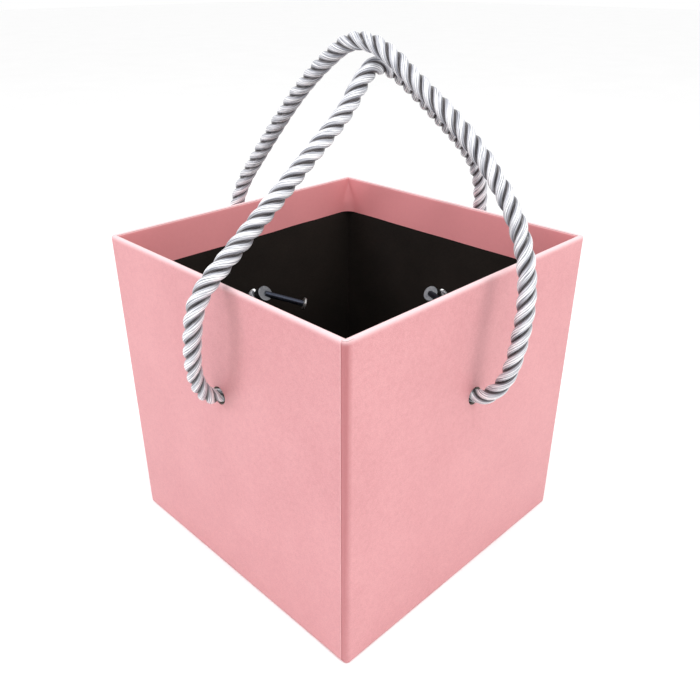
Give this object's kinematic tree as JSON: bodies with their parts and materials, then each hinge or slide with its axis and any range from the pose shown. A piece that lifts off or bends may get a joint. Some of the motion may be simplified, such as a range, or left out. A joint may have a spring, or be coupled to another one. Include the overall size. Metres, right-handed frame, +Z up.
{
  "type": "flower box",
  "caption": "Square open-top rigid gift box for flowers, wrapped in pink grained paper with a black lining and crossing twisted rope handles.",
  "frame": {"origin": "middle of the underside of the box", "axes": "+Z up through the open top; the front wall faces -Y and the right wall faces +X"},
  "size_m": [0.1994, 0.2028, 0.2491],
  "materials": {
    "greyboard": "matt pressed grey board",
    "stay_paper": "brown paper tape",
    "wrap_paper": "fine leather-grain printed paper, low sheen",
    "base_paper": "fine leather-grain printed paper, low sheen",
    "lining_paper": "matt black paper",
    "satin_rope": "silver satin yarn, three twisted strands",
    "cap_metal": "bright plated",
    "toggle_metal": "dark smooth metal"
  },
  "bodies": {
    "box": {"wall_board_front": "greyboard", "wall_board_back": "greyboard", "wall_board_left": "greyboard", "wall_board_right": "greyboard", "base_board": "greyboard", "corner_stay_front_left": "stay_paper", "corner_stay_front_right": "stay_paper", "corner_stay_back_left": "stay_paper", "corner_stay_back_right": "stay_paper", "outer_wrap": "wrap_paper", "base_sheet": "base_paper", "wall_lining_front": "lining_paper", "wall_lining_back": "lining_paper", "wall_lining_left": "lining_paper", "wall_lining_right": "lining_paper", "base_lining": "lining_paper"},
    "upper_handle": {"handle_rope_upper": "satin_rope", "rope_cap_front": "cap_metal", "rope_cap_back": "cap_metal", "toggle_bar_front": "toggle_metal", "toggle_bar_back": "toggle_metal"},
    "lower_handle": {"handle_rope_lower": "satin_rope", "rope_cap_left": "cap_metal", "rope_cap_right": "cap_metal", "toggle_bar_left": "toggle_metal", "toggle_bar_right": "toggle_metal"}
  },
  "joints": [
    {"name": "upper_handle_swing", "type": "hinge", "parent": "box", "child": "upper_handle", "pos_m": [0, 0, 0.104], "axis": [0, 1, 0], "range_deg": [-30, 28]},
    {"name": "lower_handle_swing", "type": "hinge", "parent": "box", "child": "lower_handle", "pos_m": [0, 0, 0.104], "axis": [1, 0, 0], "range_deg": [-6, 1.5]}
  ]
}
